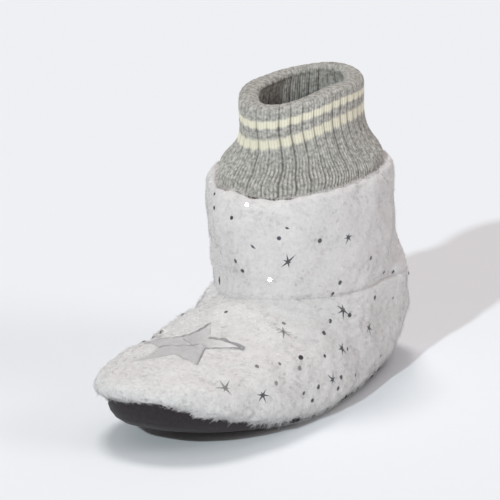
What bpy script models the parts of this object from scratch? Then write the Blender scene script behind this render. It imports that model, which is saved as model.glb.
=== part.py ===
"""Plush ankle slipper with a ribbed cuff: a left shoe that stands empty on its sole.

The toe points along -Y, the outer side of the foot is +X, and the sole stands on Z = 0.
Sizes are in millimetres and are turned to metres when a mesh is made.
"""
import bmesh
import bpy
import numpy as np

MM = 0.001

# Driving sizes
TURNS = 72
PLUSH_WALL = 5.0
CUFF_WALL = 4.0
CUFF_ROLL = 7.0
GAP = 0.3
SEAM_PINCH = {"ankle": 2.2, "gather": 1.4}
SEAM_WIDTH = 0.22

# Outer surface, a row for each section from the hem up to the rim. Back and front are measured
# along the foot from the heel seam, z at the back, the front and the two sides of the section.
# Foot share squares the outline up to the shape of the last, toe shift bends the toe inwards.
COLUMNS = ("back", "front", "half_width", "z_back", "z_front", "z_side", "foot_share", "toe_shift")
SECTIONS = (
    ("hem", (3.0, 252.0, 46.5, 4.5, 30.5, 3.5, 1.0, 6.0)),
    ("bulge", (-2.0, 258.0, 52.5, 12.5, 35.5, 11.5, 1.0, 6.0)),
    ("wall", (-4.0, 254.0, 53.0, 26.5, 42.0, 24.5, 0.95, 6.0)),
    ("toe_top", (-5.0, 238.0, 50.5, 37.5, 45.5, 35.5, 0.85, 5.0)),
    ("vamp", (-5.0, 210.0, 47.5, 44.5, 51.5, 43.5, 0.6, 4.0)),
    ("instep", (-4.0, 177.0, 46.5, 50.5, 59.5, 52.0, 0.3, 2.0)),
    ("ankle", (-1.0, 153.5, 46.5, 55.5, 67.5, 60.5, 0.05, 0.0)),
    ("shaft_low", (4.5, 154.0, 47.5, 68.5, 81.0, 74.5, 0.0, 0.0)),
    ("shaft_mid", (14.0, 155.0, 49.0, 94.5, 101.0, 97.5, 0.0, 0.0)),
    ("shaft_top", (21.0, 149.0, 49.5, 121.5, 117.0, 119.5, 0.0, 0.0)),
    ("gather", (28.0, 139.0, 45.5, 132.0, 123.5, 127.5, 0.0, 0.0)),
    ("neck", (35.5, 127.5, 35.0, 144.5, 137.5, 141.5, 0.0, 0.0)),
    ("stripes", (36.5, 129.5, 31.5, 161.5, 153.5, 159.5, 0.0, 0.0)),
    ("rim", (37.0, 128.5, 30.5, 172.5, 165.0, 169.5, 0.0, 0.0)),
)
LEVEL = {name: level for level, (name, _) in enumerate(SECTIONS)}
TABLE = np.array([sizes for _, sizes in SECTIONS])

# Outline of the last. Fullness squares its ends up, ball taper moves the widest place forwards,
# and the inner side is filled out at the heel and drawn in at the waist. Places are shares of
# the length from the heel.
END_FULLNESS = 0.22
BALL_TAPER = 0.13
TOE_BEND_START = 0.45
INNER_SIDE = (
    # name, place, spread, outwards in mm
    ("heel", 0.13, 0.10, 3.5),
    ("waist", 0.42, 0.17, -6.0),
    ("big_toe", 0.84, 0.12, 2.5),
)
SIDE_CENTRE = -0.1

# Sole, a row for each ring of its side, from the top edge to the flat of the bottom. Inset is
# measured from the hem's outline, depth is the share of the way from the top to the bottom.
SOLE_RINGS = (
    ("top_edge", 1.5, 0.0),
    ("lip", 1.0, 0.22),
    ("side", 2.2, 0.5),
    ("turn", 5.0, 0.78),
    ("round", 9.0, 0.94),
    ("flat", 14.0, 1.0),
)
HEEL_FLAT = (18.0, 64.0)
BALL_FLAT = (112.0, 150.0)
ARCH_RISE = 1.0
TOE_SPRING = 14.8
TOE_BOW = 1.25
HEEL_RISE = 1.0

# Insole, rings as the level of the wall that they follow
INSOLE_LEVELS = (0.06, 0.22, 0.4)
INSOLE_PLAY = 0.4

# Star on the vamp. The cloth under it is drawn up, so it is squashed along the foot and a little skew.
STAR_ALONG = 205.3
STAR_SIDE = -3.2
STAR_TIP = 30.3
STAR_NOTCH = 13.8
STAR_SQUASH = 0.88
STAR_SKEW = 0.2
STAR_POINTS = 5
STAR_THICK = 1.5
STAR_PRISM = (36.5, 73.5)

# The box of the outer surface is centred on the frame's origin
CENTRE_ALONG = 0.5 * (TABLE[:, 0].min() + TABLE[:, 1].max())


def section(level):
    """Sizes of the section at a level between the table's rows, on a smooth curve through them."""
    row = min(int(level), len(TABLE) - 2)
    share = level - row
    rows = np.clip(np.arange(row - 1, row + 3), 0, len(TABLE) - 1)
    before, start, end, after = TABLE[rows]
    slope_start = 0.5 * (end - before)
    slope_end = 0.5 * (after - start)
    square = share * share
    cube = square * share
    sizes = (
        (2 * cube - 3 * square + 1) * start
        + (cube - 2 * square + share) * slope_start
        + (3 * square - 2 * cube) * end
        + (cube - square) * slope_end
    )
    return dict(zip(COLUMNS, sizes))


def outline(level, turn):
    """Points of the outer surface at a level. Turn runs from the heel, over +X, to the toe and back."""
    size = section(level)
    back = np.cos(turn)
    side = np.sin(turn)
    middle = 0.5 * (size["back"] + size["front"])
    half_length = 0.5 * (size["front"] - size["back"])
    place = 0.5 * (1.0 - back)
    fullness = 1.0 - END_FULLNESS * size["foot_share"]
    ball = 1.0 - BALL_TAPER * size["foot_share"] * back
    width = np.sign(side) * np.abs(side) ** fullness * ball
    toe = np.clip((place - TOE_BEND_START) / (1.0 - TOE_BEND_START), 0.0, 1.0) ** 2
    inner = np.clip(-side, 0.0, 1.0) * size["foot_share"]
    x = size["half_width"] * width - size["toe_shift"] * toe - SIDE_CENTRE
    for _, centre, spread, swell in INNER_SIDE:
        x -= swell * inner * np.exp(-(((place - centre) / spread) ** 2))
    y = CENTRE_ALONG - (middle - half_length * back)
    front_lift = (size["z_front"] - size["z_side"]) * np.clip(-back, 0.0, 1.0) ** 2
    back_lift = (size["z_back"] - size["z_side"]) * np.clip(back, 0.0, 1.0) ** 2
    return np.stack([x, y, size["z_side"] + front_lift + back_lift], axis=1)


def unit(vectors):
    return vectors / np.linalg.norm(vectors, axis=1, keepdims=True)


TURN = np.linspace(0.0, 2.0 * np.pi, TURNS, endpoint=False)
STEP = 0.02
TOP = len(SECTIONS) - 1


def rise(level):
    """Unit direction up the surface at every turn of a level."""
    low = max(level - STEP, 0.0)
    high = min(level + STEP, TOP)
    return unit(outline(high, TURN) - outline(low, TURN))


def outward(level):
    """Unit direction out of the surface, level with the floor at the hem so that its edge is flat."""
    around = unit(outline(level, TURN + STEP) - outline(level, TURN - STEP))
    flat = unit(np.cross((0.0, 0.0, 1.0), around))
    full = unit(np.cross(rise(level), around))
    share = min(level, 1.0)
    return unit((1.0 - share) * flat + share * full)


def pinch(level):
    """How far the two sewn seams draw the plush in."""
    return sum(
        depth * np.exp(-(((level - LEVEL[seam]) / SEAM_WIDTH) ** 2)) for seam, depth in SEAM_PINCH.items()
    )


def face_ring(level, shift=0.0):
    """Ring on the outer face, drawn in at the seams and moved up the surface by shift."""
    return outline(level, TURN) - pinch(level) * outward(level) + shift * rise(level)


def wall_ring(level, depth, shift=0.0):
    """Ring inside the outer surface at a depth, moved up the surface by shift."""
    return outline(level, TURN) - depth * outward(level) + shift * rise(level)


def levels(low, high, steps):
    return np.linspace(LEVEL[low], LEVEL[high], steps + 1)


def new_object(name, bm, colour, roughness):
    bmesh.ops.recalc_face_normals(bm, faces=bm.faces)
    mesh = bpy.data.meshes.new(name)
    bm.to_mesh(mesh)
    bm.free()
    mesh.shade_smooth()
    mesh.set_sharp_from_angle(angle=np.radians(40.0))
    material = bpy.data.materials.new(name)
    material.use_nodes = True
    shader = material.node_tree.nodes["Principled BSDF"]
    shader.inputs["Base Color"].default_value = (*colour, 1.0)
    shader.inputs["Roughness"].default_value = roughness
    shader.inputs["Metallic"].default_value = 0.0
    mesh.materials.append(material)
    piece = bpy.data.objects.new(name, mesh)
    bpy.context.scene.collection.objects.link(piece)
    return piece


def bridge(bm, lower, upper):
    for i in range(len(lower)):
        j = (i + 1) % len(lower)
        bm.faces.new((lower[i], lower[j], upper[j], upper[i]))


def ladder(bm, ring):
    """Close a ring with strips that run straight across the foot."""
    last = len(ring)
    bm.faces.new((ring[0], ring[1], ring[last - 1]))
    for i in range(1, last // 2 - 1):
        bm.faces.new((ring[i], ring[i + 1], ring[last - i - 1], ring[last - i]))
    half = last // 2
    bm.faces.new((ring[half - 1], ring[half], ring[half + 1]))


def loft(rings, closed):
    """Skin over rings. A closed skin meets its own start, an open one is capped at both ends."""
    bm = bmesh.new()
    loops = [[bm.verts.new(point) for point in ring * MM] for ring in rings]
    for lower, upper in zip(loops, loops[1:]):
        bridge(bm, lower, upper)
    if closed:
        bridge(bm, loops[-1], loops[0])
    else:
        ladder(bm, loops[0])
        ladder(bm, loops[-1])
    return bm


# Foot panel
def make_upper():
    face = [face_ring(level) for level in levels("hem", "bulge", 3)[:-1]]
    face += [face_ring(level) for level in levels("bulge", "ankle", 13)[:-1]]
    face.append(face_ring(LEVEL["ankle"], -0.5 * GAP))
    lining = [wall_ring(LEVEL["ankle"], PLUSH_WALL, -0.5 * GAP)]
    lining += [wall_ring(level, PLUSH_WALL) for level in levels("hem", "ankle", 8)[-2::-1]]
    return new_object("upper", loft(face + lining, True), (0.72, 0.71, 0.71), 0.95)


# Ankle tube
def make_shaft():
    face = [face_ring(LEVEL["ankle"], 0.5 * GAP)]
    face += [face_ring(level) for level in levels("ankle", "gather", 10)[1:-1]]
    face.append(face_ring(LEVEL["gather"], -0.5 * GAP))
    lining = [wall_ring(LEVEL["gather"], PLUSH_WALL, -0.5 * GAP)]
    lining += [wall_ring(level, PLUSH_WALL) for level in levels("ankle", "gather", 4)[-2:0:-1]]
    lining.append(wall_ring(LEVEL["ankle"], PLUSH_WALL, 0.5 * GAP))
    return new_object("shaft", loft(face + lining, True), (0.68, 0.69, 0.71), 0.95)


# Ribbed cuff, folded double over a fat round rim
def cuff_wall(level):
    """Thickness of the cuff, which grows from its sewn edge to its rolled rim."""
    share = (level - LEVEL["gather"]) / (LEVEL["rim"] - LEVEL["gather"])
    return CUFF_WALL + (CUFF_ROLL - CUFF_WALL) * share


def make_cuff():
    face = [face_ring(LEVEL["gather"], 0.5 * GAP)]
    face += [face_ring(level) for level in levels("gather", "rim", 9)[1:]]
    roll = []
    for angle in np.radians((36.0, 72.0, 108.0, 144.0)):
        depth = 0.5 * CUFF_ROLL * (1.0 - np.cos(angle))
        roll.append(wall_ring(LEVEL["rim"], depth, 0.5 * CUFF_ROLL * np.sin(angle)))
    inside = [wall_ring(level, cuff_wall(level)) for level in levels("gather", "rim", 5)[:0:-1]]
    inside.append(wall_ring(LEVEL["gather"], CUFF_WALL, 0.5 * GAP))
    return new_object("cuff", loft(face + roll + inside, True), (0.33, 0.33, 0.33), 0.9)


# Sole
def bottom_height(along):
    """Height of the sole's bottom: flat at heel and ball, a low arch between, and toe spring."""
    arch = (along - HEEL_FLAT[1]) / (BALL_FLAT[0] - HEEL_FLAT[1])
    spring = (along - BALL_FLAT[1]) / (TABLE[LEVEL["hem"], 1] - BALL_FLAT[1])
    heel = (HEEL_FLAT[0] - along) / HEEL_FLAT[0]
    return (
        ARCH_RISE * np.sin(np.pi * np.clip(arch, 0.0, 1.0)) ** 2
        + TOE_SPRING * np.clip(spring, 0.0, None) ** TOE_BOW
        + HEEL_RISE * np.clip(heel, 0.0, None) ** 2
    )


def make_sole():
    hem = outline(LEVEL["hem"], TURN)
    across = outward(LEVEL["hem"])
    rings = []
    for _, inset, depth in SOLE_RINGS:
        ring = hem - inset * across
        top = hem[:, 2] - GAP
        bottom = bottom_height(CENTRE_ALONG - ring[:, 1])
        ring[:, 2] = top + depth * (bottom - top)
        rings.append(ring)
    return new_object("sole", loft(rings, False), (0.030, 0.026, 0.028), 0.9)


def make_insole():
    depth = PLUSH_WALL + INSOLE_PLAY
    rings = [wall_ring(level, depth) for level in INSOLE_LEVELS]
    return new_object("insole", loft(rings, False), (0.62, 0.61, 0.60), 0.95)


# Star sewn on the vamp, cut out of the layer between two forms of the upper's own surface
def foot_form(name, lift):
    rings = [wall_ring(level, -lift) for level in levels("bulge", "ankle", 13)]
    form = new_object(name, loft(rings, False), (0.6, 0.6, 0.6), 0.9)
    form.hide_render = True
    form.display_type = "WIRE"
    return form


def make_star():
    bm = bmesh.new()
    corners = []
    for i in range(2 * STAR_POINTS):
        radius = STAR_NOTCH if i % 2 else STAR_TIP
        angle = np.pi * i / STAR_POINTS
        across = radius * np.sin(angle)
        x = STAR_SIDE + across
        y = CENTRE_ALONG - STAR_ALONG + STAR_SQUASH * radius * np.cos(angle) + STAR_SKEW * across
        corners.append(bm.verts.new((x * MM, y * MM, STAR_PRISM[0] * MM)))
    base = bm.faces.new(corners)
    prism = bmesh.ops.extrude_face_region(bm, geom=[base])
    raised = [item for item in prism["geom"] if isinstance(item, bmesh.types.BMVert)]
    bmesh.ops.translate(bm, verts=raised, vec=(0.0, 0.0, (STAR_PRISM[1] - STAR_PRISM[0]) * MM))
    star = new_object("star_patch", bm, (0.50, 0.50, 0.51), 0.7)
    cuts = (("star_outside", GAP + STAR_THICK, "INTERSECT"), ("star_inside", GAP, "DIFFERENCE"))
    for name, lift, operation in cuts:
        cut = star.modifiers.new(name, "BOOLEAN")
        cut.object = foot_form(name, lift)
        cut.operation = operation
        cut.solver = "EXACT"
    return star


def main():
    for old in list(bpy.data.objects):
        bpy.data.objects.remove(old, do_unlink=True)
    make_sole()
    make_insole()
    make_upper()
    make_shaft()
    make_cuff()
    make_star()


main()
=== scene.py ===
# %% [markdown]
# # A plush slipper boot with a ribbed cuff
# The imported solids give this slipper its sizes: a padded sole, a hollow foot panel, an ankle
# shaft, a knitted cuff and a star on the vamp. This lesson dresses them. The plush gets real pile,
# the cuff its ribs and stripes, and every other piece the cloth that it is cut from.
# Nothing here moves or resizes a solid.

import math

import bmesh
import bpy
import numpy as np
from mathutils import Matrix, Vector


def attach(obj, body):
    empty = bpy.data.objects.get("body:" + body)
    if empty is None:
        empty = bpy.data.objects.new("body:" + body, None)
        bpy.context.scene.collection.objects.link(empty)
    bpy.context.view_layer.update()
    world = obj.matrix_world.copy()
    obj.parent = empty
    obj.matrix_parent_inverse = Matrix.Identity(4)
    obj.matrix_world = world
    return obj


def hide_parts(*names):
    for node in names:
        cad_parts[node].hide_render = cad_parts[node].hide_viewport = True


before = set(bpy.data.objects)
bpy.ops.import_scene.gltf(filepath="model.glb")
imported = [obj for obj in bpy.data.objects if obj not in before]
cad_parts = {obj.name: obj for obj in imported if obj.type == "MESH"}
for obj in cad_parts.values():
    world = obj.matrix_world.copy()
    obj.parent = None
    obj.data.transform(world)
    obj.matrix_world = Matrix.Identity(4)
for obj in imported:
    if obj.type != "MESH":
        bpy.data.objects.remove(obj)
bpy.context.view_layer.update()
MM = 0.001
print("solids:", sorted(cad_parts))

# %% [markdown]
# ## The last
# Every cloth piece follows one surface, the shape of the foot and ankle from the hem up to the
# rim. A row of the table is a section of it, and a smooth curve runs through the rows. A point on
# the surface has a level, counted in rows from the hem, and a turn, an angle from the heel over the
# outer side (+X) to the toe (-Y) and back. These are the sizes that the solids were made from.

# %% Sections of the last
COLUMNS = ("back", "front", "half_width", "z_back", "z_front", "z_side", "foot_share", "toe_shift")
SECTIONS = (
    ("hem", (3.0, 252.0, 46.5, 4.5, 30.5, 3.5, 1.0, 6.0)),
    ("bulge", (-2.0, 258.0, 52.5, 12.5, 35.5, 11.5, 1.0, 6.0)),
    ("wall", (-4.0, 254.0, 53.0, 26.5, 42.0, 24.5, 0.95, 6.0)),
    ("toe_top", (-5.0, 238.0, 50.5, 37.5, 45.5, 35.5, 0.85, 5.0)),
    ("vamp", (-5.0, 210.0, 47.5, 44.5, 51.5, 43.5, 0.6, 4.0)),
    ("instep", (-4.0, 177.0, 46.5, 50.5, 59.5, 52.0, 0.3, 2.0)),
    ("ankle", (-1.0, 153.5, 46.5, 55.5, 67.5, 60.5, 0.05, 0.0)),
    ("shaft_low", (4.5, 154.0, 47.5, 68.5, 81.0, 74.5, 0.0, 0.0)),
    ("shaft_mid", (14.0, 155.0, 49.0, 94.5, 101.0, 97.5, 0.0, 0.0)),
    ("shaft_top", (21.0, 149.0, 49.5, 121.5, 117.0, 119.5, 0.0, 0.0)),
    ("gather", (28.0, 139.0, 45.5, 132.0, 123.5, 127.5, 0.0, 0.0)),
    ("neck", (35.5, 127.5, 35.0, 144.5, 137.5, 141.5, 0.0, 0.0)),
    ("stripes", (36.5, 129.5, 31.5, 161.5, 153.5, 159.5, 0.0, 0.0)),
    ("rim", (37.0, 128.5, 30.5, 172.5, 165.0, 169.5, 0.0, 0.0)),
)
LEVEL = {name: level for level, (name, _) in enumerate(SECTIONS)}
TABLE = np.array([sizes for _, sizes in SECTIONS])
TOP = len(TABLE) - 1
CENTRE_ALONG = 0.5 * (TABLE[:, 0].min() + TABLE[:, 1].max())
print("sections:", ", ".join(LEVEL))

# %% [markdown]
# ## Surface of the last
# The foot's plan is an oval that grows full at its ends, bends inwards at the toe and is drawn in at
# the waist of the inner side. All of that is worked out for whole arrays of points at once, which
# is what makes nearly half a million fibres quick to place.

# %% Surface of the last
SIDE_CENTRE = -0.1
END_FULLNESS = 0.22
BALL_TAPER = 0.13
TOE_BEND_START = 0.45
INNER_SIDE = (
    # name, place, spread, outwards in mm
    ("heel", 0.13, 0.10, 3.5),
    ("waist", 0.42, 0.17, -6.0),
    ("big_toe", 0.84, 0.12, 2.5),
)


def section(level):
    """Sizes of the sections at an array of levels."""
    row = np.clip(np.floor(level).astype(int), 0, TOP - 1)
    share = (level - row)[..., None]
    before = TABLE[np.clip(row - 1, 0, TOP)]
    start = TABLE[row]
    end = TABLE[row + 1]
    after = TABLE[np.clip(row + 2, 0, TOP)]
    square = share * share
    cube = square * share
    sizes = (
        (2 * cube - 3 * square + 1) * start
        + (cube - 2 * square + share) * 0.5 * (end - before)
        + (3 * square - 2 * cube) * end
        + (cube - square) * 0.5 * (after - start)
    )
    return dict(zip(COLUMNS, np.moveaxis(sizes, -1, 0)))


def last_point(level, turn):
    """Points of the last in millimetres, for arrays of levels and turns."""
    size = section(level)
    back = np.cos(turn)
    side = np.sin(turn)
    place = 0.5 * (1.0 - back)
    fullness = 1.0 - END_FULLNESS * size["foot_share"]
    ball = 1.0 - BALL_TAPER * size["foot_share"] * back
    width = np.sign(side) * np.abs(side) ** fullness * ball
    toe = np.clip((place - TOE_BEND_START) / (1.0 - TOE_BEND_START), 0.0, 1.0) ** 2
    inner = np.clip(-side, 0.0, 1.0) * size["foot_share"]
    x = size["half_width"] * width - size["toe_shift"] * toe - SIDE_CENTRE
    for _, centre, spread, swell in INNER_SIDE:
        x = x - swell * inner * np.exp(-(((place - centre) / spread) ** 2))
    middle = 0.5 * (size["back"] + size["front"])
    half_length = 0.5 * (size["front"] - size["back"])
    y = CENTRE_ALONG - (middle - half_length * back)
    front_lift = (size["z_front"] - size["z_side"]) * np.clip(-back, 0.0, 1.0) ** 2
    back_lift = (size["z_back"] - size["z_side"]) * np.clip(back, 0.0, 1.0) ** 2
    return np.stack([x, y, size["z_side"] + front_lift + back_lift], axis=-1)


# %% [markdown]
# ## Directions on the last
# Cloth has an up, a round and an out at every place. They come from small steps on the surface, so
# no formula has to be differentiated by hand.

# %% Directions on the last
FULL_TURN = 2.0 * np.pi
STEP = 0.02


def unit(vectors):
    return vectors / np.maximum(np.linalg.norm(vectors, axis=-1, keepdims=True), 1e-9)


def last_axes(level, turn):
    """Unit directions up the surface, round it and out of it, level with the floor at the hem."""
    level, turn = np.broadcast_arrays(level, turn)
    low = np.clip(level - STEP, 0.0, TOP)
    high = np.clip(level + STEP, 0.0, TOP)
    rise = unit(last_point(high, turn) - last_point(low, turn))
    around = unit(last_point(level, turn + STEP) - last_point(level, turn - STEP))
    share = np.clip(level, 0.0, 1.0)[..., None]
    flat = unit(np.cross(np.array((0.0, 0.0, 1.0)), around))
    full = unit(np.cross(rise, around))
    return rise, around, unit((1.0 - share) * flat + share * full)


def sunk(level, turn, depth):
    """Points at a depth in mm under the surface of the last."""
    return last_point(level, turn) - depth[..., None] * last_axes(level, turn)[2]


print("out of the heel:", np.round(last_axes(np.array(2.0), np.array(0.0))[2], 2))

# %% [markdown]
# ## Folds, gathers and sewn lines
# Cloth never lies on a last like paint. The two sewn seams draw the plush in, the gathered cuff
# puckers the top of the shaft, the empty vamp has sagged on its inner side, and the full heel has
# settled into a few soft folds. A simulation would put folds where it likes, and these have their
# places, so each is a row here: a trough (negative) or a ridge at a level and a turn, long and wide
# in millimetres.

# %% Folds
FOLD_REACH = 14.0
FOLD_FADE = 8.0
FOLD_ENDS = 1.5
FOLDS = (
    # name, level, turn in degrees, length, width, height, slant in degrees
    ("ankle crease outer", 6.15, 84.0, 44.0, 2.6, -1.8, 6.0),
    ("ankle puff outer", 6.55, 62.0, 60.0, 6.0, 1.4, 4.0),
    ("heel swell", 5.2, 48.0, 76.0, 7.0, 1.6, 4.0),
    ("heel fullness", 2.9, 33.0, 110.0, 16.0, 5.6, 0.0),
    ("heel fold low", 4.2, 40.0, 70.0, 5.0, -1.2, 6.0),
    ("heel back fold", 4.6, -8.0, 60.0, 5.0, -2.0, -5.0),
    ("heel back swell", 5.3, -4.0, 64.0, 6.5, 1.8, 0.0),
    ("inner heel fold", 4.4, 318.0, 64.0, 5.0, -2.0, -8.0),
    ("shaft sag outer", 7.4, 56.0, 66.0, 9.0, -2.0, 8.0),
    ("shaft hollow outer", 8.3, 64.0, 80.0, 12.0, -0.8, 10.0),
    ("shaft sag high", 8.65, 108.0, 46.0, 6.0, -1.4, -6.0),
    ("shaft crease outer", 8.35, 82.0, 34.0, 4.0, -1.0, 40.0),
    ("shaft sag back", 7.6, 10.0, 70.0, 7.0, -1.8, -6.0),
    ("shaft sag inner", 7.5, 290.0, 76.0, 7.0, -1.6, -8.0),
    ("shaft sag inner front", 7.5, 234.0, 96.0, 30.0, -1.9, 0.0),
    ("shaft front dent", 8.4, 165.0, 52.0, 12.0, -0.9, 60.0),
    ("vamp sag inner", 4.85, 236.0, 84.0, 20.0, -5.0, 0.0),
    ("toe sag inner", 3.9, 224.0, 84.0, 20.0, -4.0, 0.0),
    ("vamp hollow", 4.6, 128.0, 56.0, 11.0, -1.2, 30.0),
    ("toe crease", 2.8, 152.0, 46.0, 6.0, -0.8, 14.0),
    ("side hollow", 2.6, 84.0, 70.0, 9.0, -1.0, 4.0),
    ("hem tuck outer", 0.9, 68.0, 90.0, 8.0, -1.6, 0.0),
    ("cuff wrinkle outer", 9.55, 78.0, 20.0, 2.2, -1.3, 28.0),
    ("cuff ridge outer", 9.75, 70.0, 26.0, 2.6, 1.4, 18.0),
    ("cuff wrinkle side", 9.35, 100.0, 16.0, 2.0, -1.0, -24.0),
)


def fold_relief(points, row):
    """Height of one fold at every point of the surface."""
    _, level, turn, length, width, height, slant = row
    level = np.array(level)
    turn = np.array(math.radians(turn))
    rise, around, out = last_axes(level, turn)
    offset = points - last_point(level, turn)
    slant = math.radians(slant)
    along = offset @ (math.cos(slant) * around + math.sin(slant) * rise)
    across = offset @ (math.cos(slant) * rise - math.sin(slant) * around)
    behind = np.minimum(offset @ out + FOLD_REACH, 0.0)
    ends = np.clip(1.0 - (2.0 * along / length) ** 2, 0.0, 1.0) ** FOLD_ENDS
    return height * ends * np.exp(-((across / width) ** 2) - (behind / FOLD_FADE) ** 2)


print("folds:", len(FOLDS))

# %% [markdown]
# ## Lines where the cloth ends
# The plush doesn't end in level lines. The cuff's seam dips at the front and at the inner side, and
# the hem is drawn up a little at the outer side of the toe, where the sole shows most. Smooth bumps
# round the foot describe both, and a small ripple keeps them from looking ruled.

# %% Hem and gather
# Rises and dips of the cloth's ends: height in levels, turn and spread in degrees
HEM_LEVEL = 0.02
HEM_RISE = (0.22, 163.0, 16.0)
HEM_RIPPLE = 0.04
HEM_FRINGE = 0.25
GATHER_LEVEL = LEVEL["gather"] - 0.05
GATHER_DIPS = ((0.14, 145.0, 45.0), (0.16, 212.0, 12.0), (-0.12, 192.0, 8.0))
GATHER_RIPPLE = 0.02
GATHER_FRINGE = 0.22


def bumps(turn, *rows):
    """Sum of smooth bumps round the foot. A row is a height, a turn and a spread in degrees."""
    total = np.zeros_like(turn)
    for height, centre, spread in rows:
        away = (np.degrees(turn) - centre + 180.0) % 360.0 - 180.0
        total = total + height * np.exp(-((away / spread) ** 2))
    return total


def hem_line(turn):
    """Level at which the plush ends above the sole."""
    ripple = HEM_RIPPLE * np.sin(9.0 * turn) * np.sin(4.0 * turn)
    return HEM_LEVEL + bumps(turn, HEM_RISE) + ripple


def hem_top(turn):
    """Level up to which the pile hangs over the hem as a fringe."""
    return hem_line(turn) + HEM_FRINGE


def gather_line(turn):
    """Level at which the cuff is sewn to the shaft."""
    return GATHER_LEVEL - bumps(turn, *GATHER_DIPS) + GATHER_RIPPLE * np.sin(11.0 * turn)


def gather_low(turn):
    """Level from which the shaft's pile is combed up over the cuff's edge."""
    return gather_line(turn) - GATHER_FRINGE


print("hem at the toe: level", round(float(hem_line(np.pi)), 2))

# %% [markdown]
# ## Relief of the plush
# All of this adds up to one number, how far the cloth stands out from the last: padding and tufts
# from a few seeded waves, the pinch of the ankle seam, the folds, and the puckers under the cuff.
# Backing, pile and foil all ask the same function, so they always agree.

# %% Relief of the plush
ANKLE_PINCH = (1.1, 0.13)
PUCKERS = 30
PUCKER_HEIGHT = 0.4
PUCKER_REACH = 0.5
PUCKER_WANDER = (0.9, 0.6)
LUMP_HEIGHT = 0.6
LUMP_SIZE = 34.0
TUFT_HEIGHT = 0.28
TUFT_SIZES = (5.0, 10.0)
SHAFT_TUFTS = 0.6
WAVES = 14
GATHER_TUCK = (3.4, 0.30)


def lumps(points, size, seed):
    """Soft unevenness of padding, from a few seeded waves of about one size in millimetres."""
    rng = np.random.default_rng(seed)
    total = np.zeros(points.shape[:-1])
    for _ in range(WAVES):
        wave = rng.normal(size=3)
        wave *= FULL_TURN / (size * rng.uniform(0.7, 1.6) * np.linalg.norm(wave))
        total += np.sin(points @ wave + rng.uniform(0.0, FULL_TURN))
    return total / math.sqrt(WAVES)


def plush_relief(level, turn):
    """How far the plush stands out from the last, in millimetres."""
    level, turn = np.broadcast_arrays(level, turn)
    points = last_point(level, turn)
    on_foot = np.clip(LEVEL["ankle"] - level + 0.5, SHAFT_TUFTS, 1.0)
    tufts = lumps(points, TUFT_SIZES[0], seed=5) + lumps(points, TUFT_SIZES[1], seed=6)
    relief = LUMP_HEIGHT * lumps(points, LUMP_SIZE, seed=3) + TUFT_HEIGHT * on_foot * tufts
    depth, spread = ANKLE_PINCH
    relief = relief - depth * np.exp(-(((level - LEVEL["ankle"]) / spread) ** 2))
    for row in FOLDS:
        relief = relief + fold_relief(points, row)
    to_cuff = gather_line(turn) - level
    near_cuff = np.exp(-((to_cuff / PUCKER_REACH) ** 2))
    wander = PUCKER_WANDER[0] * np.sin(3.0 * turn + 0.7) + PUCKER_WANDER[1] * np.sin(7.0 * turn)
    tuck = GATHER_TUCK[0] * np.clip(1.0 - to_cuff / GATHER_TUCK[1], 0.0, 1.0) ** 2
    return relief + PUCKER_HEIGHT * near_cuff * np.sin(PUCKERS * turn + wander) - tuck


def plush_point(level, turn, depth):
    """Points at a depth in mm under the plush, which follow its folds."""
    return sunk(level, turn, depth - plush_relief(level, turn))


def plush_normal(level, turn):
    """Unit directions out of the plush, tilted by its folds."""
    flat = np.zeros_like(level)
    up = plush_point(level + STEP, turn, flat) - plush_point(level - STEP, turn, flat)
    over = plush_point(level, turn + STEP, flat) - plush_point(level, turn - STEP, flat)
    return unit(np.cross(up, over))


sample = plush_relief(np.linspace(0.0, 9.5, 60)[:, None], np.linspace(0.0, FULL_TURN, 90)[None, :])
print("relief from", round(sample.min(), 1), "to", round(sample.max(), 1), "mm")

# %% [markdown]
# ## Colours and nodes
# A photograph's colours are sRGB values, and a shader works with linear ones, so one function
# turns a hex value over. Another small function adds any node with its settings and its inputs,
# values or links alike, which keeps each material short enough to read as a recipe.

# %% Helpers for materials
def linear(hex_colour):
    """A linear colour with alpha from an sRGB hex value."""
    values = [int(hex_colour[i : i + 2], 16) / 255.0 for i in (1, 3, 5)]
    return [v / 12.92 if v <= 0.04045 else ((v + 0.055) / 1.055) ** 2.4 for v in values] + [1.0]


def new_material(name):
    """A new material, its node tree and its shader."""
    material = bpy.data.materials.new(name)
    material.use_nodes = True
    return material, material.node_tree, material.node_tree.nodes["Principled BSDF"]


def feed(tree, node, sockets):
    """Gives inputs of a node their values, or the outputs that feed them."""
    for name, value in sockets.items():
        if isinstance(value, bpy.types.NodeSocket):
            tree.links.new(value, node.inputs[name])
        else:
            node.inputs[name].default_value = value


def add(tree, kind, sockets=None, **settings):
    """Adds a node with its settings and inputs."""
    node = tree.nodes.new(kind)
    for name, value in settings.items():
        setattr(node, name, value)
    feed(tree, node, sockets or {})
    return node


def per_mm(size):
    """Scale of a noise whose features are about this many millimetres."""
    return 1.0 / (size * MM)


print("mid grey is", round(linear("#808080")[0], 3), "in linear light")

# %% [markdown]
# ## Pile materials
# The foot is cut from a long-pile polyester plush, off-white with a hint of warmth. Its fibres are
# too rough to shine but they scatter light at grazing angles, which a sheen layer gives. The shaft
# is the same cloth brushed shorter, and reads a little cooler. Blotches of two nearby tones, a few
# millimetres wide, keep the pile from looking like one flat paint.

# %% Plush
# Single fibres are too fine to show, so they are drawn as locks of this many millimetres
LOCK_GRAIN = 1.6


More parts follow.
